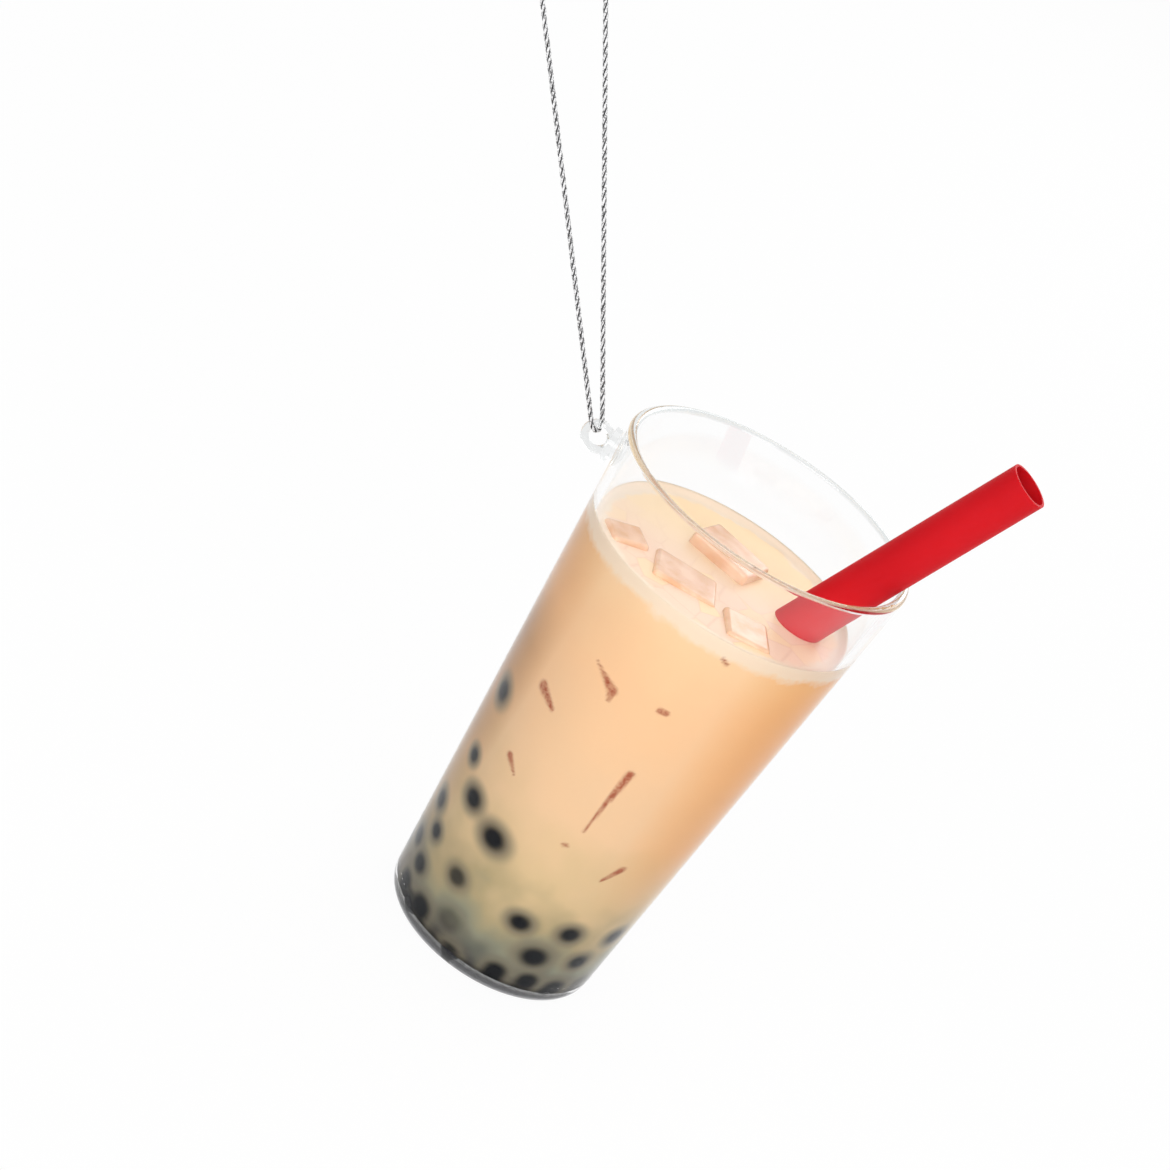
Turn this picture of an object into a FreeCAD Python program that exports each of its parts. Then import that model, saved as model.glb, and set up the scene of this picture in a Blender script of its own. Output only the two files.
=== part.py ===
"""Hanging glass ornament in the shape of a glass of iced milk tea.

The cup stands upright on its flat base at the origin, +Z up.  A hollow straw leans to +X, the small glass
ring for the cord is fused to the wall on the -X side, and the cord rises taut from that ring to its knot.
Every length is in millimetres and every angle in degrees.
"""
import FreeCAD, Part
import Sketcher
import math
import os

from FreeCAD import Vector

# alias, value, what it is
SIZES = [
    ("CupHeight", 95.0, "height of the cup, base to lip"),
    ("RimRadius", 26.6, "outer radius of the wall at the lip"),
    ("BaseRadius", 19.4, "outer radius of the wall carried down to the base plane"),
    ("WallThickness", 1.6, "thickness of the glass wall, measured level"),
    ("FloorThickness", 2.2, "thickness of the glass floor"),
    ("BaseRounding", 2.7, "radius of the outer corner at the base"),
    ("FloorRounding", 2.0, "radius of the inner corner at the floor"),
    ("LipRounding", 0.75, "radius of both edges of the lip"),
    ("DrinkBelowLip", 14.8, "depth of the cast drink's top below the lip"),
    ("DrinkGap", 0.02, "clearance between the drink and the glass"),
    ("StrawDiameter", 8.0, "outer diameter of the straw"),
    ("StrawWall", 0.45, "wall of the straw"),
    ("StrawLean", 22.7, "angle between the straw and the cup's axis"),
    ("StrawAboveLip", 27.1, "height of the middle of the straw's upper end above the lip"),
    ("StrawSunk", 12.0, "depth of the straw's lower end below the drink's top"),
    ("StrawGap", 0.1, "clearance between the straw and the lip it leans on"),
    ("EyeBelowLip", 7.0, "depth of the middle of the cord ring below the lip"),
    ("EyeRadius", 2.25, "radius of the ring, to the middle of its rod"),
    ("EyeRod", 0.7, "radius of the ring's rod"),
    ("EyeRoot", 1.0, "depth that the ring reaches into the flange"),
    ("FlangeRadius", 3.2, "radius of the flange that carries the ring"),
    ("FlangeThickness", 1.2, "thickness of the flange"),
    ("FlangeStand", 0.6, "distance from the wall to the flange, at the ring's height"),
    ("StemRadius", 2.3, "radius of the stem between the flange and the wall"),
    ("IceRounding", 0.7, "radius of the edges of the ice"),
    ("CordDiameter", 0.88, "diameter of the twisted cord"),
    ("CordGap", 0.08, "clearance between the cord and the ring's rod"),
    ("CordSkew", 20.0, "angle by which the cord crosses the ring's rod askew"),
    ("KnotLength", 2.4, "length of the knot along the cord"),
    ("KnotRadius", 1.3, "radius of the knot"),
    ("KnotRounding", 0.5, "radius of the knot's end edges"),
]

# Heights above the base that follow from the sizes.
DRINK_TOP = "(Sizes.CupHeight - Sizes.DrinkBelowLip)"
STRAW_TOP = "(Sizes.CupHeight + Sizes.StrawAboveLip)"
EYE_HEIGHT = "(Sizes.CupHeight - Sizes.EyeBelowLip)"

# name: length, width, thickness, corner x, corner y, height of that corner's top above the drink, turn
ICE = {
    "Back": (12.0, 9.0, 8.0, -22.771, 4.0, 2.4, -17.0),
    "Middle": (11.5, 9.5, 7.5, -9.5, 8.378, 0.9, 12.0),
    "Front": (8.0, 8.0, 7.0, 5.4, 4.878, 0.7, 20.0),
    "Left": (6.5, 6.0, 6.0, 6.478, -13.0, 0.6, 36.0),
}
ICE_WORDS = ("Length", "Width", "Thickness", "X", "Y", "Proud", "Turn")
# What each corner's x and y are measured from, at the drink's top: the cup's axis, the inside of the wall on
# the negative side, or the straw's axis.
ICE_FROM = {
    "Back": ("straw", "axis"),
    "Middle": ("axis", "wall"),
    "Front": ("axis", "wall"),
    "Left": ("wall", "axis"),
}
# The turn of each piece of ice is about a line a little off upright, so that its top isn't quite level.
ICE_AXIS = {
    "Back": Vector(0.10, -0.12, 1.0),
    "Middle": Vector(-0.10, 0.20, 1.0),
    "Front": Vector(0.12, 0.10, 1.0),
    "Left": Vector(0.05, -0.08, 1.0),
}

# The cord's route.  Both strands start inside the ring, under the part of its rod that carries the weight,
# rise taut side by side and close in a small loop at the knot.  PULL is the way the cord pulls, ACROSS is
# level with the knot's length, and each strand lists the points of its loop, as x, y, z.
HANG_ANGLE = math.radians(34.0)
PULL = Vector(-math.sin(HANG_ANGLE), 0.0, math.cos(HANG_ANGLE))
ACROSS = Vector(math.cos(HANG_ANGLE), 0.0, math.sin(HANG_ANGLE))
KNOT_MIDDLE = Vector(-73.2, 0.0, 152.0)
FRONT_LOOP = [
    Vector(-76.7, -0.3, 147.6),
    Vector(-76.2, 0.0, 150.0),
]
BACK_LOOP = [
    Vector(-67.8, 0.3, 153.5),
    Vector(-70.2, 0.0, 154.0),
]

doc = FreeCAD.newDocument("MilkTeaOrnament")
sheet = doc.addObject("Spreadsheet::Sheet", "Sizes")
sub_parts = []


def fill_sheet():
    """Writes every driving size into the sheet, one row each, with its alias."""
    rows = list(SIZES)
    for name, values in ICE.items():
        for word, value in zip(ICE_WORDS, values):
            rows.append((f"Ice{name}{word}", value, f"{word.lower()} of the ice called {name.lower()}"))
    for number, (alias, value, meaning) in enumerate(rows, start=1):
        sheet.set(f"A{number}", meaning)
        sheet.set(f"B{number}", str(value))
        sheet.setAlias(f"B{number}", alias)
    doc.recompute()


def size(alias):
    """One value of the sheet, as a number."""
    return float(getattr(sheet, alias))


def wall_radius(height):
    """Expression for the cup's outer radius at a height given as an expression."""
    return f"(Sizes.BaseRadius + (Sizes.RimRadius - Sizes.BaseRadius) * ({height}) / Sizes.CupHeight)"


def straw_axis(height):
    """Expression for the x of the straw's axis at a height given as an expression."""
    lean = "(Sizes.StrawLean * 1 deg)"
    # the lip is round in section, so the straw touches it half a wall below the top
    touch_height = "(Sizes.CupHeight - Sizes.WallThickness / 2)"
    lip_middle = f"({wall_radius(touch_height)} - Sizes.WallThickness / 2)"
    reach = f"(Sizes.WallThickness / 2 + Sizes.StrawDiameter / 2 + Sizes.StrawGap) / cos({lean})"
    return f"({lip_middle} - {reach} - ({touch_height} - {height}) * tan({lean}))"


def number_of(expression):
    """The present value of an expression."""
    return float(sheet.evalExpression(expression))


def plane_of(body, role):
    """One of the body's own origin planes."""
    return next(part for part in body.Origin.OriginFeatures if part.Role == role)


def new_sketch(body, name, role):
    sketch = body.newObject("Sketcher::SketchObject", name)
    sketch.AttachmentSupport = [(plane_of(body, role), "")]
    sketch.MapMode = "FlatFace"
    return sketch


def bind(sketch, constraint, name, expression):
    """Adds a constraint with a size and ties that size to an expression."""
    index = sketch.addConstraint(constraint)
    sketch.renameConstraint(index, name)
    sketch.setExpression(f"Constraints.{name}", expression)


def draw_outline(sketch, corners):
    """Closed outline of straight lines through corners given as pairs of expressions; None is an axis."""
    places = [
        Vector(number_of(across) if across else 0, number_of(along) if along else 0, 0)
        for across, along in corners
    ]
    count = len(places)
    for index in range(count):
        sketch.addGeometry(Part.LineSegment(places[index], places[(index + 1) % count]), False)
    for index in range(count):
        sketch.addConstraint(Sketcher.Constraint("Coincident", index, 2, (index + 1) % count, 1))
    for index, (across, along) in enumerate(corners):
        place = places[index]
        if not across and not along:
            sketch.addConstraint(Sketcher.Constraint("Coincident", index, 1, -1, 1))
            continue
        if across:
            distance = Sketcher.Constraint("DistanceX", -1, 1, index, 1, place.x)
            bind(sketch, distance, f"Across{index}", across)
        else:
            sketch.addConstraint(Sketcher.Constraint("PointOnObject", index, 1, -2))
        if along:
            distance = Sketcher.Constraint("DistanceY", -1, 1, index, 1, place.y)
            bind(sketch, distance, f"Along{index}", along)
        else:
            sketch.addConstraint(Sketcher.Constraint("PointOnObject", index, 1, -1))


def draw_circle(sketch, name, radius):
    """A circle about the sketch's origin, its radius an expression."""
    index = sketch.addGeometry(Part.Circle(Vector(), Vector(0, 0, 1), number_of(radius)), False)
    sketch.addConstraint(Sketcher.Constraint("Coincident", index, 3, -1, 1))
    bind(sketch, Sketcher.Constraint("Radius", index, number_of(radius)), name, radius)


def new_body(label):
    body = doc.addObject("PartDesign::Body", label.title().replace("_", ""))
    body.Label = label
    return body


def revolve(body, sketch, name):
    feature = body.newObject("PartDesign::Revolution", name)
    feature.Profile = sketch
    feature.ReferenceAxis = (sketch, ["V_Axis"])
    feature.Angle = 360
    doc.recompute()
    return feature


def ring_edges(shape, height):
    """Names of the full circles about the Z axis at one height."""
    names = []
    for index, edge in enumerate(shape.Edges, start=1):
        if isinstance(edge.Curve, Part.Circle) and abs(edge.Curve.Center.z - height) < 1e-6:
            names.append(f"Edge{index}")
    return names


def round_edges(body, feature, name, edges, radius):
    fillet = body.newObject("PartDesign::Fillet", name)
    fillet.Base = (feature, edges)
    fillet.setExpression("Radius", radius)
    doc.recompute()
    return fillet


def make_glass_cup():
    """Tapered tumbler: one turned section, with its base, floor and lip rounded."""
    body = new_body("glass_cup")
    sketch = new_sketch(body, "CupSection", "XZ_Plane")
    corners = [
        (None, None),
        ("Sizes.BaseRadius", None),
        ("Sizes.RimRadius", "Sizes.CupHeight"),
        ("Sizes.RimRadius - Sizes.WallThickness", "Sizes.CupHeight"),
        (f"{wall_radius('Sizes.FloorThickness')} - Sizes.WallThickness", "Sizes.FloorThickness"),
        (None, "Sizes.FloorThickness"),
    ]
    draw_outline(sketch, corners)
    turned = revolve(body, sketch, "CupTurned")
    base = round_edges(body, turned, "CupBase", ring_edges(turned.Shape, 0), "Sizes.BaseRounding")
    floor_edges = ring_edges(base.Shape, size("FloorThickness"))
    floor = round_edges(body, base, "CupFloor", floor_edges, "Sizes.FloorRounding")
    lip_edges = ring_edges(floor.Shape, size("CupHeight"))
    round_edges(body, floor, "CupLip", lip_edges, "Sizes.LipRounding")
    sub_parts.append(body)
    return body


def make_straw():
    """Hollow straw, square at both ends, leaning on the lip at +X with its lower end in the drink."""
    body = new_body("straw")
    sketch = new_sketch(body, "StrawSection", "XY_Plane")
    draw_circle(sketch, "Outside", "Sizes.StrawDiameter / 2")
    draw_circle(sketch, "Inside", "Sizes.StrawDiameter / 2 - Sizes.StrawWall")
    pad = body.newObject("PartDesign::Pad", "StrawTube")
    pad.Profile = sketch
    foot = f"({DRINK_TOP} - Sizes.StrawSunk)"
    pad.setExpression("Length", f"({STRAW_TOP} - {foot}) / cos(Sizes.StrawLean * 1 deg)")
    body.Placement = FreeCAD.Placement(Vector(), FreeCAD.Rotation(Vector(0, 1, 0), size("StrawLean")))
    body.setExpression("Placement.Rotation.Angle", "Sizes.StrawLean")
    body.setExpression("Placement.Base.z", foot)
    body.setExpression("Placement.Base.x", straw_axis(foot))
    doc.recompute()
    sub_parts.append(body)
    return body


def make_ice(name):
    """A block of cast ice with rounded edges, standing a little out of the drink."""
    body = new_body(f"ice_{name.lower()}")
    sketch = new_sketch(body, f"Ice{name}Plan", "XY_Plane")
    length = f"Sizes.Ice{name}Length"
    width = f"Sizes.Ice{name}Width"
    draw_outline(sketch, [(None, None), (length, None), (length, width), (None, width)])
    pad = body.newObject("PartDesign::Pad", f"Ice{name}Block")
    pad.Profile = sketch
    pad.Reversed = True
    pad.setExpression("Length", f"Sizes.Ice{name}Thickness")
    doc.recompute()
    edges = [f"Edge{index}" for index in range(1, len(pad.Shape.Edges) + 1)]
    round_edges(body, pad, f"Ice{name}Edges", edges, "Sizes.IceRounding")
    turn = FreeCAD.Rotation(ICE_AXIS[name], size(f"Ice{name}Turn"))
    body.Placement = FreeCAD.Placement(Vector(), turn)
    body.setExpression("Placement.Rotation.Angle", f"Sizes.Ice{name}Turn")
    datums = {
        "axis": "0",
        "wall": f"(Sizes.WallThickness - {wall_radius(DRINK_TOP)})",
        "straw": straw_axis(DRINK_TOP),
    }
    from_x, from_y = ICE_FROM[name]
    body.setExpression("Placement.Base.x", f"{datums[from_x]} + Sizes.Ice{name}X")
    body.setExpression("Placement.Base.y", f"{datums[from_y]} + Sizes.Ice{name}Y")
    body.setExpression("Placement.Base.z", f"{DRINK_TOP} + Sizes.Ice{name}Proud")
    doc.recompute()
    sub_parts.append(body)
    return body


def make_drink(straw, ice):
    """The cast drink fills the glass up to its level, and is cut round the straw and the ice."""
    blank = new_body("drink_blank")
    sketch = new_sketch(blank, "DrinkSection", "XZ_Plane")
    bottom = "Sizes.FloorThickness + Sizes.DrinkGap"
    inset = "Sizes.WallThickness - Sizes.DrinkGap"
    corners = [
        (None, bottom),
        (f"{wall_radius(bottom)} - {inset}", bottom),
        (f"{wall_radius(DRINK_TOP)} - {inset}", DRINK_TOP),
        (None, DRINK_TOP),
    ]
    draw_outline(sketch, corners)
    turned = revolve(blank, sketch, "DrinkTurned")
    low = size("FloorThickness") + size("DrinkGap")
    round_edges(blank, turned, "DrinkFoot", ring_edges(turned.Shape, low), "Sizes.FloorRounding")
    seats = doc.addObject("Part::MultiFuse", "DrinkSeats")
    seats.Shapes = [straw] + ice
    drink = doc.addObject("Part::Cut", "Drink")
    drink.Label = "drink"
    drink.Base = blank
    drink.Tool = seats
    doc.recompute()
    sub_parts.append(drink)
    return drink


def make_hanging_eye():
    """Glass ring for the cord, with its round flange and the stem fused to the wall."""
    wall = wall_radius(EYE_HEIGHT)
    flange_inner = f"({wall} + Sizes.FlangeStand)"
    flange_outer = f"({flange_inner} + Sizes.FlangeThickness)"
    ring_middle = f"({flange_outer} + Sizes.EyeRadius + Sizes.EyeRod - Sizes.EyeRoot)"

    ring = doc.addObject("Part::Torus", "EyeRing")
    ring.setExpression("Radius1", "Sizes.EyeRadius")
    ring.setExpression("Radius2", "Sizes.EyeRod")
    ring.Placement = FreeCAD.Placement(Vector(), FreeCAD.Rotation(Vector(1, 0, 0), 90))
    ring.setExpression("Placement.Base.x", f"-{ring_middle}")
    ring.setExpression("Placement.Base.z", EYE_HEIGHT)

    flange = doc.addObject("Part::Cylinder", "EyeFlange")
    flange.setExpression("Radius", "Sizes.FlangeRadius")
    flange.setExpression("Height", "Sizes.FlangeThickness")
    stem = doc.addObject("Part::Cylinder", "EyeStem")
    stem.setExpression("Radius", "Sizes.StemRadius")
    stem.setExpression("Height", "Sizes.FlangeStand + Sizes.WallThickness")
    for piece, start in ((flange, flange_outer), (stem, flange_inner)):
        piece.Placement = FreeCAD.Placement(Vector(), FreeCAD.Rotation(Vector(0, 1, 0), 90))
        piece.setExpression("Placement.Base.x", f"-{start}")
        piece.setExpression("Placement.Base.z", EYE_HEIGHT)

    fused = doc.addObject("Part::MultiFuse", "EyeFused")
    fused.Shapes = [ring, flange, stem]
    envelope = doc.addObject("Part::Cone", "CupEnvelope")
    envelope.setExpression("Radius1", "Sizes.BaseRadius")
    envelope.setExpression("Radius2", "Sizes.RimRadius")
    envelope.setExpression("Height", "Sizes.CupHeight")
    eye = doc.addObject("Part::Cut", "HangingEye")
    eye.Label = "hanging_eye"
    eye.Base = fused
    eye.Tool = envelope
    doc.recompute()
    sub_parts.append(eye)
    return number_of(ring_middle)


def rounded_path(points):
    """Straight runs joined by tangent arcs. The arc at the first corner takes the whole first run."""
    edges = []
    start = points[0]
    for index in range(1, len(points) - 1):
        corner = points[index]
        before = points[index - 1] - corner
        after = points[index + 1] - corner
        half_turn = (math.pi - before.getAngle(after)) / 2
        reach = before.Length if index == 1 else 0.45 * min(before.Length, after.Length)
        radius = reach / math.tan(half_turn)
        before.normalize()
        after.normalize()
        arc_start = corner + before * reach
        arc_end = corner + after * reach
        inward = (before + after).normalize()
        middle = corner + inward * (radius / math.cos(half_turn) - radius)
        if index > 1:
            edges.append(Part.LineSegment(start, arc_start).toShape())
        edges.append(Part.Arc(arc_start, middle, arc_end).toShape())
        print(f"  arc radius {radius:.2f} mm, turn {math.degrees(2 * half_turn):.0f} degrees")
        start = arc_end
    edges.append(Part.LineSegment(start, points[-1]).toShape())
    return Part.Wire(edges)


def make_cord_strand(label, side, loop_points, ring_middle):
    """One strand: from under the ring's rod, round it on one side, and taut up to the knot."""
    radius = size("CordDiameter") / 2
    bend = size("EyeRod") + radius + size("CordGap")
    rod_middle = Vector(-ring_middle, 0, number_of(EYE_HEIGHT)) + PULL * size("EyeRadius")
    under = rod_middle - PULL * bend
    skew = math.radians(size("CordSkew"))
    sideways = (Vector(0, math.cos(skew), 0) + ACROSS * math.sin(skew)) * side
    knot_end = KNOT_MIDDLE + ACROSS * (side * size("KnotLength") / 2)
    print(label)
    path = rounded_path([under, under + sideways * bend] + loop_points + [knot_end])
    section = Part.Wire([Part.Circle(under, sideways, radius).toShape()])
    tube = path.makePipeShell([section], True, False)
    expected = math.pi * radius**2 * path.Length
    print(f"  length {path.Length:.1f} mm, volume {tube.Volume:.2f} of {expected:.2f} mm3")
    if abs(tube.Volume / expected - 1) > 0.01:
        raise RuntimeError(f"{label}: the tube's volume is off")
    strand = doc.addObject("Part::Feature", label.title().replace("_", ""))
    strand.Label = label
    strand.Shape = tube
    strand.Placement = FreeCAD.Placement()
    sub_parts.append(strand)
    return strand


def make_knot():
    """The knot that closes the loop, a short barrel between the ends of the two strands."""
    body = new_body("cord_knot")
    sketch = new_sketch(body, "KnotSection", "XY_Plane")
    draw_circle(sketch, "Outside", "Sizes.KnotRadius")
    pad = body.newObject("PartDesign::Pad", "KnotBarrel")
    pad.Profile = sketch
    pad.setExpression("Length", "Sizes.KnotLength")
    doc.recompute()
    edges = ring_edges(pad.Shape, 0) + ring_edges(pad.Shape, size("KnotLength"))
    round_edges(body, pad, "KnotEdges", edges, "Sizes.KnotRounding")
    start = KNOT_MIDDLE - ACROSS * (size("KnotLength") / 2)
    body.Placement = FreeCAD.Placement(start, FreeCAD.Rotation(Vector(0, 0, 1), ACROSS))
    doc.recompute()
    sub_parts.append(body)
    return body


def check_model():
    """Stops if any object failed or any sub-part isn't a valid solid."""
    for item in doc.Objects:
        if "Invalid" in item.State or "Error" in item.State:
            raise RuntimeError(f"{item.Label} failed: {item.State}")
    for item in sub_parts:
        if item.Shape.isNull() or not item.Shape.isValid():
            raise RuntimeError(f"{item.Label} has no valid shape")
        solids = item.Shape.Solids
        if len(solids) != 1:
            raise RuntimeError(f"{item.Label} has {len(solids)} solids")
        print(f"{item.Label}: {item.Shape.Volume:.1f} mm3, {len(item.Shape.Faces)} faces")


def write_steps():
    os.makedirs("parts", exist_ok=True)
    for item in sub_parts:
        item.Shape.exportStep(f"parts/{item.Label}.step")


fill_sheet()
make_glass_cup()
straw_body = make_straw()
ice_bodies = [make_ice(name) for name in ICE]
make_drink(straw_body, ice_bodies)
eye_middle = make_hanging_eye()
make_cord_strand("cord_front", -1, FRONT_LOOP, eye_middle)
make_cord_strand("cord_back", 1, BACK_LOOP, eye_middle)
make_knot()
doc.recompute()
check_model()
write_steps()
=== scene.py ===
"""Looks of the hanging milk-tea ornament: a clear cup of cast tea with pearls and ice, a straw and a cord."""
import math
import random

import bmesh
import bpy
import numpy as np
from mathutils import Matrix, Vector


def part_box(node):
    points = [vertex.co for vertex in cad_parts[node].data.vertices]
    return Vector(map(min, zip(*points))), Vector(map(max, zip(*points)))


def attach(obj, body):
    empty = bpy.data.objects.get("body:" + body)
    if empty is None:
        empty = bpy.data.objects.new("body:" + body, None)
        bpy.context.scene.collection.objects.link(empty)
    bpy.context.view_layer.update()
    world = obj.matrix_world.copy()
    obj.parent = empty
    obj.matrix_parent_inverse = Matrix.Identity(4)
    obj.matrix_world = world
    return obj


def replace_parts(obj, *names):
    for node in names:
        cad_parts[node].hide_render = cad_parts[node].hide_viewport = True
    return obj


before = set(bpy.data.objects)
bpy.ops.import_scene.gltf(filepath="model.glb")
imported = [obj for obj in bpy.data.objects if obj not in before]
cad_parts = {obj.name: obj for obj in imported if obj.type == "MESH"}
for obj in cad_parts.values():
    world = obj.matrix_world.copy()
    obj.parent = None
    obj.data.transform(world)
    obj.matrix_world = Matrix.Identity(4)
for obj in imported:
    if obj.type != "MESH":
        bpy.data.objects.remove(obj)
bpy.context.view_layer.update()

MM = 0.001
random.seed(11)
scene = bpy.context.scene

# ------------------------------------------------------------------ measures taken from the frame
CUP_LOW, CUP_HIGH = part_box("glass_cup")
DRINK_LOW, DRINK_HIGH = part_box("drink")
CUP_HEIGHT = CUP_HIGH.z
LEVEL = DRINK_HIGH.z
WALL = 1.6 * MM
RIM_RADIUS = CUP_HIGH.x
BASE_RADIUS = 19.4 * MM
TAPER = (RIM_RADIUS - BASE_RADIUS) / CUP_HEIGHT


def inner_radius(height):
    """Radius of the cup's inner wall at a height."""
    return BASE_RADIUS + TAPER * height - WALL


# ------------------------------------------------------------------ small helpers
def new_object(name, mesh, material):
    piece = bpy.data.objects.new(name, mesh)
    scene.collection.objects.link(piece)
    piece.data.materials.append(material)
    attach(piece, "root")
    return piece


def finish_node(name, material):
    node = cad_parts[name]
    node.data.materials.clear()
    node.data.materials.append(material)


def smooth(mesh):
    for polygon in mesh.polygons:
        polygon.use_smooth = True


class Nodes:
    """Short way to build the node tree of a material, or of the world."""

    def __init__(self, name, world=False):
        self.material = (bpy.data.worlds if world else bpy.data.materials).new(name)
        self.material.use_nodes = True
        self.tree = self.material.node_tree
        self.tree.nodes.clear()
        self.out = self.add("ShaderNodeOutputWorld" if world else "ShaderNodeOutputMaterial")

    def add(self, kind, **values):
        node = self.tree.nodes.new(kind)
        for key, value in values.items():
            setattr(node, key, value)
        return node

    def link(self, source, target):
        self.tree.links.new(source, target)

    def noise(self, scale, detail=3.0, roughness=0.5, distortion=0.0):
        coordinates = self.add("ShaderNodeTexCoord")
        texture = self.add("ShaderNodeTexNoise")
        texture.inputs["Scale"].default_value = scale
        texture.inputs["Detail"].default_value = detail
        texture.inputs["Roughness"].default_value = roughness
        texture.inputs["Distortion"].default_value = distortion
        self.link(coordinates.outputs["Object"], texture.inputs["Vector"])
        return texture.outputs["Fac"]

    def ramp(self, source, stops):
        ramp = self.add("ShaderNodeValToRGB")
        elements = ramp.color_ramp.elements
        while len(elements) < len(stops):
            elements.new(0.5)
        for element, (position, colour) in zip(elements, stops):
            element.position = position
            element.color = (*colour, 1.0)
        self.link(source, ramp.inputs["Fac"])
        return ramp.outputs["Color"]

    def map(self, source, low, high, to_low, to_high):
        node = self.add("ShaderNodeMapRange")
        node.inputs["From Min"].default_value = low
        node.inputs["From Max"].default_value = high
        node.inputs["To Min"].default_value = to_low
        node.inputs["To Max"].default_value = to_high
        self.link(source, node.inputs["Value"])
        return node.outputs["Result"]

    def math(self, operation, first, second=None, clamp=False):
        node = self.add("ShaderNodeMath", operation=operation, use_clamp=clamp)
        self.feed(first, node.inputs[0])
        if second is not None:
            self.feed(second, node.inputs[1])
        return node.outputs[0]

    def place(self):
        """The x, y and z of the object's own coordinates."""
        axes = self.add("ShaderNodeSeparateXYZ")
        self.link(self.add("ShaderNodeTexCoord").outputs["Object"], axes.inputs[0])
        return axes.outputs

    def mix(self, factor, first, second, blend="MIX"):
        node = self.add("ShaderNodeMix", data_type="RGBA", blend_type=blend)
        self.feed(factor, node.inputs["Factor"])
        self.feed(first, node.inputs["A"])
        self.feed(second, node.inputs["B"])
        return node.outputs["Result"]

    def feed(self, value, socket):
        if isinstance(value, bpy.types.NodeSocket):
            self.link(value, socket)
        elif isinstance(value, tuple):
            socket.default_value = (*value, 1.0) if len(socket.default_value) == 4 else value
        else:
            socket.default_value = value

    def attribute(self, name):
        return self.add("ShaderNodeAttribute", attribute_name=name).outputs["Fac"]

    def surface(self, shader):
        """Makes a shader the material's surface and gives the material."""
        self.link(shader.outputs[0], self.out.inputs["Surface"])
        return self.material

    def bump(self, height, strength, distance):
        node = self.add("ShaderNodeBump")
        node.inputs["Strength"].default_value = strength
        node.inputs["Distance"].default_value = distance
        self.link(height, node.inputs["Height"])
        return node.outputs["Normal"]

    def shader_mix(self, factor, first, second):
        node = self.add("ShaderNodeMixShader")
        self.feed(factor, node.inputs[0])
        self.link(first.outputs[0], node.inputs[1])
        self.link(second.outputs[0], node.inputs[2])
        return node

    def principled(self, **values):
        node = self.add("ShaderNodeBsdfPrincipled")
        for key, value in values.items():
            self.feed(value, node.inputs[key.replace("_", " ")])
        return node


# ------------------------------------------------------------------ camera
AIM = Vector((-18.3, 0.0, 64.6)) * MM
CAMERA_DISTANCE = 531.5 * MM
CAMERA_ELEVATION = math.radians(24.47)
CAMERA_AZIMUTH = math.radians(2.19)
CAMERA_ROLL = math.radians(33.1)
CAMERA_LENS = 98.43


def make_camera():
    """The photo's view: the ornament hangs tilted there, so here the camera is rolled instead."""
    data = bpy.data.cameras.new("camera")
    data.lens = CAMERA_LENS
    data.sensor_width = 36.0
    camera = bpy.data.objects.new("camera", data)
    scene.collection.objects.link(camera)
    back = Vector((
        math.sin(CAMERA_AZIMUTH) * math.cos(CAMERA_ELEVATION),
        -math.cos(CAMERA_AZIMUTH) * math.cos(CAMERA_ELEVATION),
        math.sin(CAMERA_ELEVATION),
    ))
    turn = (-back).to_track_quat("-Z", "Y").to_matrix().to_4x4()
    place = Matrix.Translation(AIM + back * CAMERA_DISTANCE)
    camera.matrix_world = place @ turn @ Matrix.Rotation(CAMERA_ROLL, 4, "Z")
    data.clip_start = 0.01
    data.clip_end = 20.0
    scene.camera = camera


# ------------------------------------------------------------------ cord
# The route is part.py's, point by point, in millimetres.
HANG_ANGLE = math.radians(34.0)
PULL = Vector((-math.sin(HANG_ANGLE), 0.0, math.cos(HANG_ANGLE)))
ACROSS = Vector((math.cos(HANG_ANGLE), 0.0, math.sin(HANG_ANGLE)))
CORD_DIAMETER = 0.88
RING_MIDDLE = Vector((-29.82, 0.0, 88.0))
RING_RADIUS = 2.25
RING_BEND = 1.22
ROUTE_BEND = 1.4
RING_SKEW = math.radians(20.0)
KNOT_MIDDLE = Vector((-73.2, 0.0, 152.0))
KNOT_LENGTH = 2.4
FRONT_LOOP = [Vector((-76.7, -0.3, 147.6)), Vector((-76.2, 0.0, 150.0))]
BACK_LOOP = [Vector((-67.8, 0.3, 153.5)), Vector((-70.2, 0.0, 154.0))]
NEAR_RING = 5.0
NEAR_LOOP = 2.5


def route_points(side, loop):
    """Control points of one strand, with one more near each end of its long straight run."""
    under = RING_MIDDLE + PULL * (RING_RADIUS - RING_BEND)
    sideways = Vector((0.0, math.cos(RING_SKEW), 0.0)) + ACROSS * math.sin(RING_SKEW)
    beside = under + sideways * side * ROUTE_BEND
    run = (loop[0] - beside).normalized()
    end = KNOT_MIDDLE + ACROSS * side * KNOT_LENGTH / 2
    points = [under, beside, beside + run * NEAR_RING, loop[0] - run * NEAR_LOOP] + loop + [end]
    return [point * MM for point in points]


def spline_line(name, points):
    """The smooth line of a NURBS spline with those control points, as a list of points."""
    curve = bpy.data.curves.new(name, "CURVE")
    curve.dimensions = "3D"
    curve.resolution_u = 48
    spline = curve.splines.new("NURBS")
    spline.points.add(len(points) - 1)
    for control, point in zip(spline.points, points):
        control.co = (*point, 1.0)
    spline.order_u = 3
    spline.use_endpoint_u = True
    holder = bpy.data.objects.new(name, curve)
    scene.collection.objects.link(holder)
    line = bpy.data.meshes.new_from_object(holder)
    found = [vertex.co.copy() for vertex in line.vertices]
    bpy.data.objects.remove(holder)
    bpy.data.meshes.remove(line)
    return found


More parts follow.
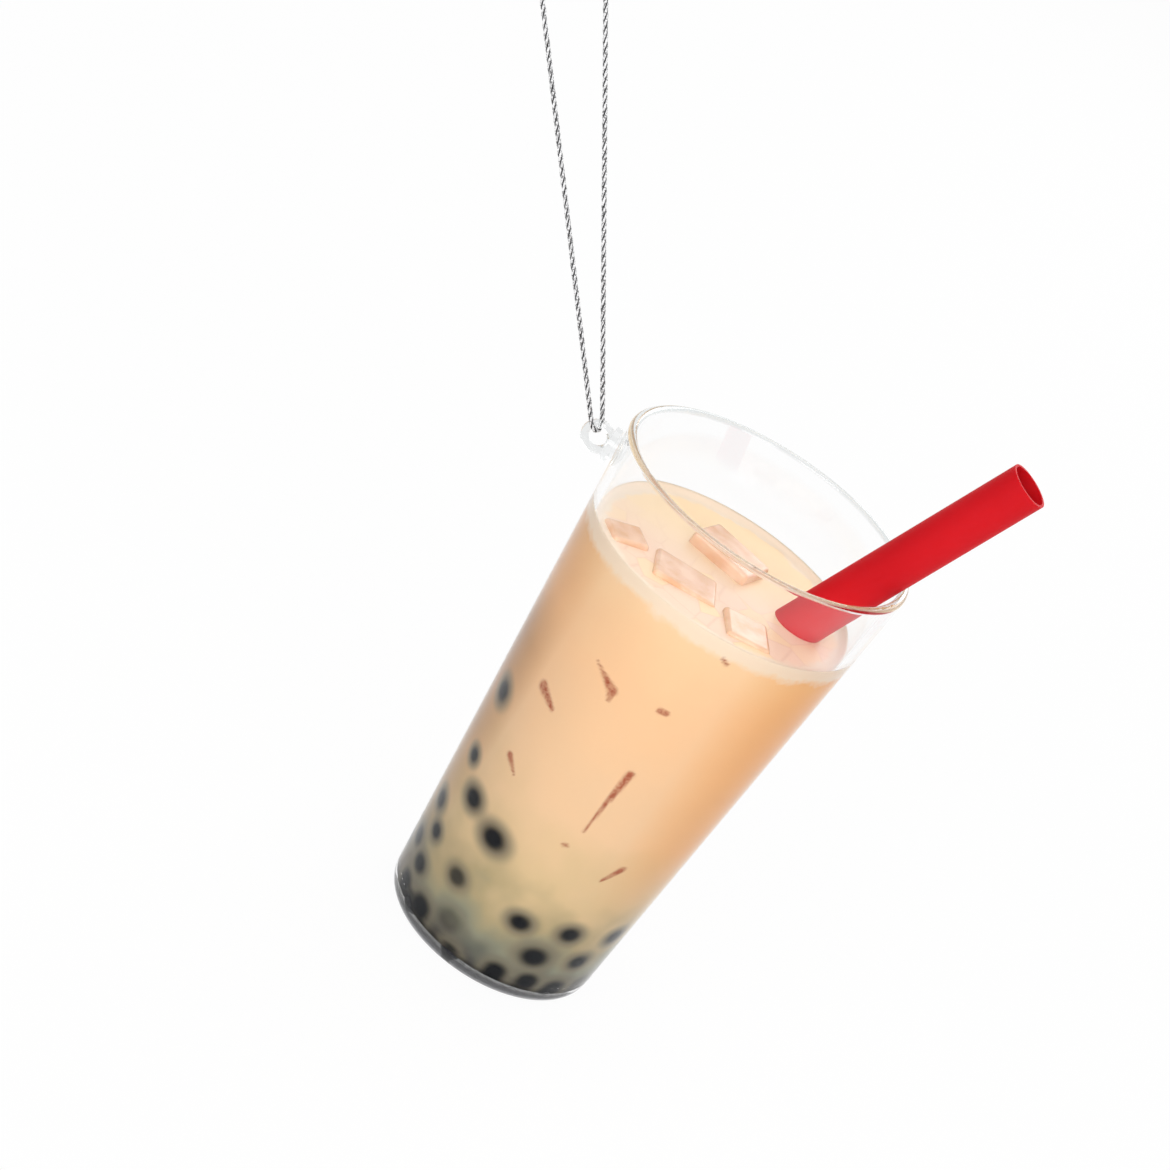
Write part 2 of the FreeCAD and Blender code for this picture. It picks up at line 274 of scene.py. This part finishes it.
def even_steps(line, step):
    """Points a set step apart along a line, with their distance from its start."""
    places = [0.0]
    for first, second in zip(line, line[1:]):
        places.append(places[-1] + (second - first).length)
    total = places[-1]
    count = max(2, round(total / step))
    found = []
    segment = 0
    for index in range(count + 1):
        target = total * index / count
        while segment < len(line) - 2 and places[segment + 1] < target:
            segment += 1
        span = places[segment + 1] - places[segment]
        share = (target - places[segment]) / span if span else 0.0
        found.append((line[segment].lerp(line[segment + 1], share), target))
    return found


def carried_frames(points, first_normal):
    """A normal at every point, carried along so that it never spins."""
    normals = []
    normal = first_normal
    for index, point in enumerate(points):
        ahead = points[min(index + 1, len(points) - 1)]
        behind = points[max(index - 1, 0)]
        tangent = (ahead - behind).normalized()
        normal = (normal - tangent * normal.dot(tangent)).normalized()
        normals.append((tangent, normal))
    return normals


def tube(build, centres, radius, sides, first_normal):
    """Adds a closed round tube along centres to a bmesh, and gives its rings of vertices."""
    rings = []
    for centre, (tangent, normal) in zip(centres, carried_frames(centres, first_normal)):
        binormal = tangent.cross(normal)
        ring = []
        for side in range(sides):
            angle = 2 * math.pi * side / sides
            ring.append(build.verts.new(
                centre + normal * math.cos(angle) * radius + binormal * math.sin(angle) * radius))
        rings.append(ring)
    for first, second in zip(rings, rings[1:]):
        for side in range(sides):
            following = (side + 1) % sides
            build.faces.new((first[side], first[following], second[following], second[side]))
    build.faces.new(list(reversed(rings[0])))
    build.faces.new(rings[-1])
    return rings


PLIES = 3
TWIST_PITCH = 5.0 * MM
PLY_RADIUS = 0.22 * MM
PLY_OFFSET = 0.22 * MM
CORD_STEP = 0.16 * MM
KNOT_TURNS = 2.2
KNOT_STEPS = 66
KNOT_SWING = 0.82
KNOT_GROOVE_SHADE = 0.9
KNOT_SQUEEZE = 0.95


def make_rope(name, line, side, material):
    """A twisted cord: plies that wind round the route's spline, each ply a tube of its own."""
    steps = even_steps(line, CORD_STEP)
    centres = [point for point, _ in steps]
    frames = carried_frames(centres, PULL.copy())
    build = bmesh.new()
    # This layer holds painted shade: how far a point lies from the cord's middle, which the cord material turns
    # dark in the grooves between the plies.
    depth = build.verts.layers.float.new("groove_shade")
    for ply in range(PLIES):
        path = []
        for (point, distance), (tangent, normal) in zip(steps, frames):
            angle = 2 * math.pi * (distance / TWIST_PITCH + side * ply / PLIES)
            outward = normal * math.cos(angle) + tangent.cross(normal) * math.sin(angle)
            path.append(point + outward * PLY_OFFSET)
        rings = tube(build, path, PLY_RADIUS, 10, PULL.copy())
        for ring, centre in zip(rings, centres):
            for vertex in ring:
                vertex[depth] = (vertex.co - centre).length / (PLY_OFFSET + PLY_RADIUS)
    mesh = bpy.data.meshes.new(name)
    build.to_mesh(mesh)
    build.free()
    smooth(mesh)
    return new_object(name, mesh, material)


def make_knot(material):
    """The knot: the cord wound round itself in a tight barrel, with its two trimmed ends."""
    build = bmesh.new()
    depth = build.verts.layers.float.new("groove_shade")
    radius = CORD_DIAMETER / 2 * KNOT_SQUEEZE
    depthwise = Vector((0.0, 1.0, 0.0))
    winding = []
    for index in range(KNOT_STEPS + 1):
        share = index / KNOT_STEPS
        angle = 2 * math.pi * KNOT_TURNS * share
        along = (share - 0.5) * (KNOT_LENGTH - 2 * radius)
        winding.append((KNOT_MIDDLE + ACROSS * along
                        + (PULL * math.cos(angle) + depthwise * math.sin(angle)) * KNOT_SWING) * MM)
    core = [(KNOT_MIDDLE + ACROSS * (KNOT_LENGTH * (index / 8 - 0.5))) * MM for index in range(9)]
    # The knot's layer value stays high, so its grooves get no painted shade.
    for path in (winding, core):
        for ring in tube(build, path, radius * MM, 12, depthwise.copy()):
            for vertex in ring:
                vertex[depth] = KNOT_GROOVE_SHADE
    mesh = bpy.data.meshes.new("cord_knot_wound")
    build.to_mesh(mesh)
    build.free()
    smooth(mesh)
    return new_object("cord_knot_wound", mesh, material)


def cord_material():
    """Silver-grey thread, with painted shade that darkens the grooves between its plies."""
    n = Nodes("silver_cord")
    groove_shade = n.attribute("groove_shade")
    fibres = n.noise(3000.0, 3.0, 0.7)
    # Painted shade: the lowest values, in the grooves between the plies, go near black.
    tone = n.ramp(groove_shade, [
        (0.58, (0.004, 0.004, 0.005)), (0.74, (0.10, 0.10, 0.105)), (0.88, (0.90, 0.90, 0.91)),
    ])
    speckle = n.ramp(fibres, [(0.42, (0.05, 0.05, 0.05)), (0.52, (1.0, 1.0, 1.0))])
    colour = n.mix(0.85, tone, speckle, "MULTIPLY")
    surface = n.principled(Base_Color=colour, Roughness=0.5)
    n.link(n.bump(fibres, 0.4, 0.00005), surface.inputs["Normal"])
    return n.surface(surface)


def make_cords():
    material = cord_material()
    knot = make_knot(material)
    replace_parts(knot, "cord_knot")
    for name, side, loop in (("front", -1, FRONT_LOOP), ("back", 1, BACK_LOOP)):
        line = spline_line(f"cord_{name}_route", route_points(side, loop))
        rope = make_rope(f"cord_{name}_twisted", line, side, material)
        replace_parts(rope, f"cord_{name}")


# ------------------------------------------------------------------ glass
# The foot, the lip and the ring are tinted dark or grey: painted shade in place of the dark pearls and dark
# edges that clear glass shows by refraction, so that they show an outline on white. The glass over the drink
# reflects little, so that no white veil hides it.
TRAPPED_DEPTH = 4
FOOT_EDGE = (2.4 * MM, 3.4 * MM)
LIP_EDGE = (CUP_HEIGHT - 0.8 * MM, CUP_HEIGHT - 0.3 * MM)
GLOSS_EDGE = (CUP_HEIGHT - 9.0 * MM, CUP_HEIGHT - 6.0 * MM)
CLEAR_TINT = (0.995, 0.995, 0.995)
FOOT_PAINTED_SHADE = (0.10, 0.10, 0.11)
EYE_PAINTED_SHADE = (0.83, 0.84, 0.84)
RIM_PAINTED_SHADE = (0.68, 0.72, 0.73)
FULL_GLOSS = (1.0, 1.0, 1.0)
FAINT_GLOSS = (0.25, 0.25, 0.25)


def glass_material(name, body_tint, foot_painted_shade):
    """Clear glass; a ray that stays trapped in the wall leaves it after a few turns."""
    n = Nodes(name)
    waves = n.noise(90.0, 1.0, 0.4)
    normal = n.bump(waves, 0.12, 0.0004)
    x, y, z = n.place()
    above_foot = n.map(z, *FOOT_EDGE, 0.0, 1.0)
    # Painted shade: the foot and the lip are tinted dark or grey in place of what clear glass shows there by
    # refraction.
    tint = n.mix(above_foot, foot_painted_shade, body_tint)
    tint = n.mix(n.map(z, *LIP_EDGE, 0.0, 1.0), tint, RIM_PAINTED_SHADE)
    gloss = n.mix(above_foot, FULL_GLOSS, FAINT_GLOSS)
    gloss = n.mix(n.map(z, *GLOSS_EDGE, 0.0, 1.0), gloss, FULL_GLOSS)
    glass = n.principled(Base_Color=tint, Roughness=0.0, IOR=1.5, Transmission_Weight=1.0,
                         Specular_Tint=gloss, Normal=normal)
    clear = n.add("ShaderNodeBsdfTransparent")
    clear.inputs["Color"].default_value = (0.95, 0.955, 0.95, 1.0)
    path = n.add("ShaderNodeLightPath")
    trapped = n.math("GREATER_THAN", path.outputs["Ray Depth"], TRAPPED_DEPTH)
    passing = n.math("MAXIMUM", path.outputs["Is Shadow Ray"], trapped)
    return n.surface(n.shader_mix(passing, glass, clear))


def finish_glass():
    finish_node("glass_cup", glass_material("clear_glass", CLEAR_TINT, FOOT_PAINTED_SHADE))
    finish_node("hanging_eye", glass_material("eye_glass", EYE_PAINTED_SHADE, EYE_PAINTED_SHADE))


# ------------------------------------------------------------------ pearls
# The pearls that rest against the glass: direction round the cup in degrees (-90 faces the viewer), height
# and radius in millimetres, and how deep the pearl lies behind the glass.
WALL_PEARLS = [
    (-147, 33.0, 1.7, 0.2), (-132, 28.2, 2.3, 0.1), (-111, 26.0, 2.6, 0.0), (-144, 17.0, 1.8, 0.2),
    (-143, 10.0, 2.2, 0.2), (-117, 15.2, 2.1, 0.5), (-127, 5.2, 2.6, 0.2), (-78, 15.6, 2.1, 0.1),
    (-52, 17.0, 2.1, 0.0), (-22, 17.0, 2.1, 0.1), (-61, 10.3, 2.7, 0.0), (-35, 11.0, 2.1, 0.0),
    (-74, 4.6, 2.2, 0.3), (-38, 4.2, 2.6, 0.0), (-152, 45.5, 2.4, 0.3), (-147, 5.0, 2.4, 0.0),
    (-137, 3.6, 2.4, 0.0), (-158, 12.0, 2.2, 0.1), (-155, 21.0, 2.1, 0.2), (-100, 3.0, 2.2, 0.5),
]
PEARL_RADIUS = (2.0, 2.7)
HEAP_TOP = 19.0
HEAP_TRIES = 1500
HEAP_DEPTHS = (0.3, 0.6, 1.0, 1.5, 3.0, 6.0, 10.0, 15.0)
HEAP_DEEPEST = 20.0
# Where the photograph shows the drink clear of other pearls: above this height and nearer the glass than this.
CLEAR_ABOVE = 9.0
CLEAR_BEHIND = 2.8
FRONT_SHARE = -0.2
PEARL_SPACING = 0.97


def pearl_centre(azimuth, height, radius, depth):
    """Centre of a pearl, in millimetres, that lies a depth behind the inner wall."""
    turn = math.radians(azimuth)
    out = inner_radius(height * MM) / MM - radius - depth
    return Vector((out * math.cos(turn), out * math.sin(turn), height))


def lay_pearls():
    """All pearls as (centre, radius): those against the glass first, then a heap on the floor of the cup."""
    pearls = [(pearl_centre(*entry), entry[2]) for entry in WALL_PEARLS]
    floor = DRINK_LOW.z / MM
    for _ in range(HEAP_TRIES):
        radius = random.uniform(*PEARL_RADIUS)
        azimuth = random.uniform(-180.0, 180.0)
        height = floor + radius + (HEAP_TOP - floor) * random.random() ** 2.2
        depth = random.choice(HEAP_DEPTHS) * random.uniform(0.7, 1.2)
        centre = pearl_centre(azimuth, height, radius, min(depth, HEAP_DEEPEST))
        in_front = math.cos(math.radians(azimuth + 90.0)) > FRONT_SHARE
        if in_front and height > CLEAR_ABOVE and depth < CLEAR_BEHIND:
            continue
        if all((centre - other).length > (radius + size) * PEARL_SPACING for other, size in pearls):
            pearls.append((centre, radius))
    return pearls


def pearl_material():
    n = Nodes("dark_pearl")
    tone = n.ramp(n.noise(400.0), [(0.3, (0.010, 0.010, 0.016)), (0.7, (0.022, 0.022, 0.032))])
    surface = n.principled(Base_Color=tone, Roughness=0.25)
    return n.surface(surface)


def make_pearls(pearls):
    build = bmesh.new()
    for centre, radius in pearls:
        place = Matrix.Translation(centre * MM) @ Matrix.Rotation(random.uniform(0, 3), 4, "X")
        bmesh.ops.create_uvsphere(build, u_segments=20, v_segments=12, radius=radius * MM, matrix=place)
    mesh = bpy.data.meshes.new("tea_pearls")
    build.to_mesh(mesh)
    build.free()
    smooth(mesh)
    return new_object("tea_pearls", mesh, pearl_material())


# ------------------------------------------------------------------ drink
INTO_WALL = 0.15 * MM
AROUND = 360
SIDE_STEP = 0.4 * MM
FOOT_ROUNDING = 2.0 * MM
MENISCUS_RISE = 0.9 * MM
MENISCUS_WIDTH = 2.0 * MM
MENISCUS_STEPS = 6
TOP_RINGS = 44
MILK_DEPTH = 0.9
CLEAR_DEPTH = 0.5
CORE_EDGE = (0.40, 1.12)
HALO_EDGE = (0.9, 1.8)

# Reddish marks of ice that touches the glass: both ends as direction in degrees and height in millimetres,
# then the half width at each end.
ICE_MARKS = [
    (-113.5, 64.8, -101.5, 62.4, 0.15, 0.8), (-101.5, 62.4, -100.5, 60.2, 0.8, 0.2),
    (-129.0, 53.6, -119.5, 52.0, 0.9, 0.4), (-126.0, 39.6, -119.0, 37.7, 0.6, 0.2),
    (-78.4, 37.2, -77.2, 45.0, 0.2, 0.35), (-77.2, 45.0, -76.0, 51.2, 0.45, 0.6),
    (-57.0, 29.8, -51.2, 33.2, 0.3, 0.55), (-81.2, 64.2, -78.6, 64.4, 0.5, 0.5),
    (-82.2, 33.2, -81.0, 33.3, 0.35, 0.35), (-73.0, 78.0, -70.5, 77.4, 0.3, 0.3),
]


def drink_profile():
    """Radius and height of each ring of the drink, from the middle of its foot to the middle of its top."""
    low = DRINK_LOW.z - INTO_WALL
    edge = inner_radius(low) + INTO_WALL
    rings = [((edge - FOOT_ROUNDING) * index / 8, low) for index in range(1, 8)]
    for index in range(7):
        angle = math.pi / 2 * index / 6
        rings.append((edge - FOOT_ROUNDING * (1 - math.sin(angle)), low + FOOT_ROUNDING * (1 - math.cos(angle))))
    bottom = low + FOOT_ROUNDING
    top = LEVEL + MENISCUS_RISE
    count = round((top - bottom) / SIDE_STEP)
    for index in range(1, count + 1):
        height = bottom + (top - bottom) * index / count
        rings.append((inner_radius(height) + INTO_WALL, height))
    outer = rings[-1][0]
    for index in range(1, MENISCUS_STEPS + 1):
        share = index / MENISCUS_STEPS
        rings.append((outer - MENISCUS_WIDTH * share, LEVEL + MENISCUS_RISE * (1 - share) ** 2.5))
    inner = rings[-1][0]
    for index in range(1, TOP_RINGS):
        rings.append((inner * (1 - index / TOP_RINGS), LEVEL))
    return rings


def falling(values, edges):
    """1 below the first edge and 0 above the second, with a smooth fall between them."""
    share = np.clip((edges[1] - values) / (edges[1] - edges[0]), 0.0, 1.0)
    return share * share * (3 - 2 * share)


def pearl_shade(points, normals, pearls):
    """Share of dark core and of grey halo at each point, from the pearls that lie behind the milk."""
    core = np.ones(len(points))
    halo = np.ones(len(points))
    for centre, radius in pearls:
        near = np.flatnonzero(np.abs(points[:, 2] - centre.z) < radius * 2.2)
        offset = np.array(centre) - points[near]
        depth = -(offset * normals[near]).sum(axis=1)
        aside = np.sqrt(np.maximum((offset**2).sum(axis=1) - depth**2, 0.0)) / radius
        seen = np.exp(-np.clip(depth - radius - CLEAR_DEPTH, 0.0, None) / MILK_DEPTH) * (depth > 0)
        core[near] *= 1 - falling(aside, CORE_EDGE) * seen
        halo[near] *= 1 - falling(aside, HALO_EDGE) * seen
    return 1 - core, 1 - halo


def mark_shade(points):
    """Share of reddish mark at each point of the drink's side."""
    shade = np.zeros(len(points))
    for start, low, end, high, first_width, last_width in ICE_MARKS:
        ends = []
        for azimuth, height in ((start, low), (end, high)):
            turn = math.radians(azimuth)
            out = inner_radius(height * MM) / MM
            ends.append(np.array((out * math.cos(turn), out * math.sin(turn), height)))
        run = ends[1] - ends[0]
        share = np.clip((points - ends[0]) @ run / (run @ run), 0.0, 1.0)
        away = np.linalg.norm(points - ends[0] - share[:, None] * run, axis=1)
        width = first_width + (last_width - first_width) * share
        shade = np.maximum(shade, falling(away / width, (0.6, 1.6)))
    return shade


def turned_mesh(rings):
    """The vertices and faces of the closed shape that the rings give when turned round the axis."""
    turns = np.linspace(0, 2 * math.pi, AROUND, endpoint=False)
    radii = np.array([radius for radius, _ in rings])
    heights = np.array([height for _, height in rings])
    x = radii[:, None] * np.cos(turns)[None, :]
    y = radii[:, None] * np.sin(turns)[None, :]
    z = np.repeat(heights[:, None], AROUND, axis=1)
    vertices = np.stack([x, y, z], axis=-1).reshape(-1, 3)
    low_middle = len(vertices)
    top_middle = low_middle + 1
    vertices = np.vstack([vertices, [[0, 0, heights[0]], [0, 0, heights[-1]]]])
    faces = []
    for start in range(0, (len(rings) - 1) * AROUND, AROUND):
        for turn in range(AROUND):
            following = (turn + 1) % AROUND
            above = start + AROUND
            faces.append((start + turn, start + following, above + following, above + turn))
    last = (len(rings) - 1) * AROUND
    for turn in range(AROUND):
        following = (turn + 1) % AROUND
        faces.append((low_middle, following, turn))
        faces.append((top_middle, last + turn, last + following))
    return vertices, faces


def make_drink(pearls, material):
    """The drink, just into the wall, with the pearls and ice that show in it as attributes of its surface."""
    vertices, faces = turned_mesh(drink_profile())
    mesh = bpy.data.meshes.new("milk_tea")
    mesh.from_pydata(vertices.tolist(), [], faces)
    smooth(mesh)
    mesh.update()
    normals = np.empty(len(vertices) * 3)
    mesh.vertices.foreach_get("normal", normals)
    core, halo = pearl_shade(vertices / MM, normals.reshape(-1, 3), pearls)
    for word, values in (("core", core), ("halo", halo), ("mark", mark_shade(vertices / MM))):
        layer = mesh.attributes.new(word, "FLOAT", "POINT")
        layer.data.foreach_set("value", values.astype(np.float32))
    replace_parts(new_object("milk_tea", mesh, material), "drink")


# Colour of the drink's side by height in millimetres, murky with pearls at the foot.
SIDE_HEIGHTS = 82.0
SIDE_COLOURS = [
    (1.0, (0.022, 0.022, 0.025)), (4.0, (0.10, 0.10, 0.092)), (9.0, (0.32, 0.32, 0.23)),
    (15.0, (0.52, 0.42, 0.24)), (24.0, (0.76, 0.58, 0.34)), (40.0, (0.88, 0.63, 0.40)),
    (64.0, (0.93, 0.63, 0.38)), (76.0, (0.94, 0.66, 0.40)),
]
# Painted shade: more orange towards the drink's left and right edges, and brown at its far left, where less
# light falls.
SIDE_EDGE_SHADE = (0.90, 0.40, 0.06)
LEFT_EDGE_SHADE = (0.36, 0.17, 0.05)
FROTH = (0.92, 0.77, 0.61)
TOP_PINK = (0.94, 0.68, 0.51)
TOP_ORANGE = (0.97, 0.72, 0.44)
ICE_LINE = (0.55, 0.24, 0.13)
MARK_COLOUR = (0.40, 0.11, 0.06)
HALO_COLOUR = (0.24, 0.21, 0.15)
HALO_SHARE = 0.85
CORE_COLOUR = (0.006, 0.007, 0.010)


def side_colour(n):
    """The drink behind the glass: by height, with painted shade that makes it more orange to the left and right,
    darker towards the left and brown at the far left.
    """
    x, y, z = n.place()
    drift = n.map(n.noise(110.0, 2.0, 0.5), 0.3, 0.7, -4.5 * MM, 4.5 * MM)
    # Painted shade: the left side takes the colour of a lower, darker height, so it goes darker towards the
    # left.
    left_shade_drop = n.map(x, -22 * MM, 0.0, -3.0 * MM, 0.0)
    low = n.map(z, 4 * MM, 14 * MM, 0.3, 1.0)
    height = n.math("ADD", z, n.math("MULTIPLY", n.math("ADD", drift, left_shade_drop), low))
    stops = [(place / SIDE_HEIGHTS, colour) for place, colour in SIDE_COLOURS]
    body = n.ramp(n.map(height, 0.0, SIDE_HEIGHTS * MM, 0.0, 1.0), stops)
    upper = n.map(z, 20 * MM, 38 * MM, 0.0, 1.0)
    # Painted shade: more orange towards the left and right edges, above the murky foot.
    sideways = n.map(n.math("ABSOLUTE", n.math("ADD", x, 2 * MM)), 13 * MM, 25 * MM, 0.0, 0.8)
    body = n.mix(n.math("MULTIPLY", sideways, upper), body, SIDE_EDGE_SHADE)
    # Painted shade: brown at the far left.
    left_shade = n.map(x, -15.0 * MM, -22.0 * MM, 0.0, 0.75)
    below = n.map(z, 66 * MM, 56 * MM, 0.15, 1.0)
    return n.mix(n.math("MULTIPLY", left_shade, below), body, LEFT_EDGE_SHADE)


def top_colour(n):
    """The drink's top: orange at the back, pinkish in front, with the outlines of sunk ice."""
    x, y, z = n.place()
    front = n.map(y, 8 * MM, -6 * MM, 0.0, 1.0)
    cells = n.add("ShaderNodeTexVoronoi")
    lines = n.add("ShaderNodeTexVoronoi", feature="DISTANCE_TO_EDGE")
    for texture in (cells, lines):
        texture.inputs["Scale"].default_value = 190.0
        n.link(n.add("ShaderNodeTexCoord").outputs["Object"], texture.inputs["Vector"])
    tint = n.ramp(cells.outputs["Color"], [(0.2, TOP_ORANGE), (0.6, TOP_PINK)])
    body = n.mix(front, TOP_ORANGE, tint)
    edge = n.map(lines.outputs["Distance"], 0.0, 0.04, 0.18, 0.0)
    return n.mix(n.math("MULTIPLY", edge, front), body, ICE_LINE)


def drink_material():
    n = Nodes("milk_tea_resin")
    x, y, z = n.place()
    ragged = n.map(n.noise(260.0, 4.0, 0.65), 0.3, 0.7, -0.9 * MM, 0.9 * MM)
    rough_height = n.math("ADD", z, ragged)
    froth = n.map(rough_height, LEVEL - 2.6 * MM, LEVEL - 1.2 * MM, 0.0, 0.9)
    out = n.math("SQRT", n.math("ADD", n.math("MULTIPLY", x, x), n.math("MULTIPLY", y, y)))
    on_top = n.map(n.math("ADD", out, ragged), 22.2 * MM, 21.2 * MM, 0.0, 1.0)
    level = n.math("GREATER_THAN", z, LEVEL - 0.05 * MM)
    body = n.mix(froth, side_colour(n), FROTH)
    body = n.mix(n.math("MULTIPLY", on_top, level), body, top_colour(n))
    flecks = n.map(n.noise(1100.0, 3.0, 0.7), 0.38, 0.58, 0.6, 1.0)
    mark = n.math("MULTIPLY", n.attribute("mark"), flecks)
    body = n.mix(mark, body, MARK_COLOUR)
    halo = n.math("MULTIPLY", n.attribute("halo"), HALO_SHARE)
    body = n.mix(halo, body, HALO_COLOUR)
    body = n.mix(n.attribute("core"), body, CORE_COLOUR)
    surface = n.principled(Base_Color=body, Roughness=0.35, IOR=1.4,
                           Specular_IOR_Level=n.math("MULTIPLY", level, 0.3))
    return n.surface(surface)


# ------------------------------------------------------------------ straw and ice
def straw_material():
    n = Nodes("red_straw")
    tone = n.ramp(n.noise(60.0, 2.0), [(0.3, (0.60, 0.005, 0.011)), (0.7, (0.67, 0.007, 0.014))])
    surface = n.principled(Base_Color=tone, Roughness=0.55, Specular_IOR_Level=0.12, Subsurface_Weight=0.4,
                           Subsurface_Scale=0.0008, Subsurface_Radius=(1.0, 0.1, 0.1))
    fine = n.noise(900.0, 3.0)
    n.link(n.bump(fine, 0.1, 0.00004), surface.inputs["Normal"])
    return n.surface(surface)


def ice_material():
    n = Nodes("tinted_ice")
    tone = n.ramp(n.noise(260.0, 3.0), [(0.35, (0.76, 0.42, 0.23)), (0.65, (0.90, 0.60, 0.42))])
    surface = n.principled(Base_Color=tone, Roughness=0.2, Subsurface_Weight=0.15, Subsurface_Scale=0.002)
    return n.surface(surface)


# ------------------------------------------------------------------ floor, world and lights
def white_share(n):
    """1 for rays from the camera, and from clear or glossy surfaces it sees, else 0."""
    path = n.add("ShaderNodeLightPath").outputs
    total = n.math("ADD", path["Is Camera Ray"], path["Is Glossy Ray"])
    total = n.math("ADD", total, path["Is Transmission Ray"])
    direct = n.math("LESS_THAN", path["Diffuse Depth"], 0.5)
    return n.math("MULTIPLY", total, direct, clamp=True)


FLOOR_HALF = 1.6
WHITE_FLOOR_SHARE = 0.95
WHITE_FLOOR = 1.0
AMBIENT = 0.47


def stage_sheet(name, corners, material):
    """A flat sheet of the studio with four corners."""
    mesh = bpy.data.meshes.new(name)
    mesh.from_pydata(corners, [], [(0, 1, 2, 3)])
    mesh.materials.append(material)
    sheet = bpy.data.objects.new(name, mesh)
    scene.collection.objects.link(sheet)
    return sheet


def make_floor():
    n = Nodes("white_floor")
    share = n.math("MULTIPLY", white_share(n), WHITE_FLOOR_SHARE)
    matte = n.add("ShaderNodeBsdfDiffuse")
    matte.inputs["Color"].default_value = (0.93, 0.93, 0.93, 1.0)
    white = n.add("ShaderNodeEmission")
    white.inputs["Color"].default_value = (1.0, 1.0, 1.0, 1.0)
    white.inputs["Strength"].default_value = WHITE_FLOOR
    material = n.surface(n.shader_mix(share, matte, white))
    half = FLOOR_HALF
    stage_sheet("floor", [(-half, -half, 0), (half, -half, 0), (half, half, 0), (-half, half, 0)], material)


def make_world():
    n = Nodes("studio", world=True)
    share = white_share(n)
    ambient = n.add("ShaderNodeBackground")
    ambient.inputs["Strength"].default_value = AMBIENT
    white = n.add("ShaderNodeBackground")
    for background in (ambient, white):
        background.inputs["Color"].default_value = (1.0, 1.0, 1.0, 1.0)
    scene.world = n.surface(n.shader_mix(share, ambient, white))


def area_light(name, place, target, width, height, power):
    data = bpy.data.lights.new(name, "AREA")
    data.shape = "RECTANGLE"
    data.size = width
    data.size_y = height
    data.energy = power
    lamp = bpy.data.objects.new(name, data)
    scene.collection.objects.link(lamp)
    lamp.location = place
    lamp.rotation_euler = (Vector(target) - Vector(place)).to_track_quat("-Z", "Y").to_euler()


def make_lights():
    target = (0.0, 0.0, 0.05)
    area_light("key", (-0.25, -0.75, 0.6), target, 0.6, 0.5, 3.15)
    area_light("fill", (0.45, -0.6, 0.3), target, 0.4, 0.6, 1.6)
    area_light("top", (0.0, 0.1, 0.8), target, 0.5, 0.5, 1.0)
    area_light("back", (0.3, 0.8, 0.5), target, 0.6, 0.5, 2.2)


CARD_AWAY = 0.45
CARD_CORNERS = [(-0.15, 0.06), (0.15, 0.06), (0.15, 0.4), (-0.15, 0.4)]


def make_cards():
    """Dark cards beside the cup, out of view, so that clear glass shows its edges against the white."""
    n = Nodes("dark_card")
    matte = n.add("ShaderNodeBsdfDiffuse")
    matte.inputs["Color"].default_value = (0.08, 0.07, 0.06, 1.0)
    material = n.surface(matte)
    for name, x in (("card_left", -CARD_AWAY), ("card_right", CARD_AWAY)):
        corners = [(x, y, z) for y, z in CARD_CORNERS]
        card = stage_sheet(name, corners, material)
        card.visible_camera = False
        card.visible_shadow = False
        card.visible_diffuse = False


scene.view_settings.view_transform = "Standard"
make_camera()
make_cords()
finish_glass()
pearls = lay_pearls()
make_pearls(pearls)
make_drink(pearls, drink_material())
finish_node("straw", straw_material())
ice = ice_material()
for name in ("ice_back", "ice_middle", "ice_front", "ice_left"):
    finish_node(name, ice)
make_floor()
make_world()
make_lights()
make_cards()
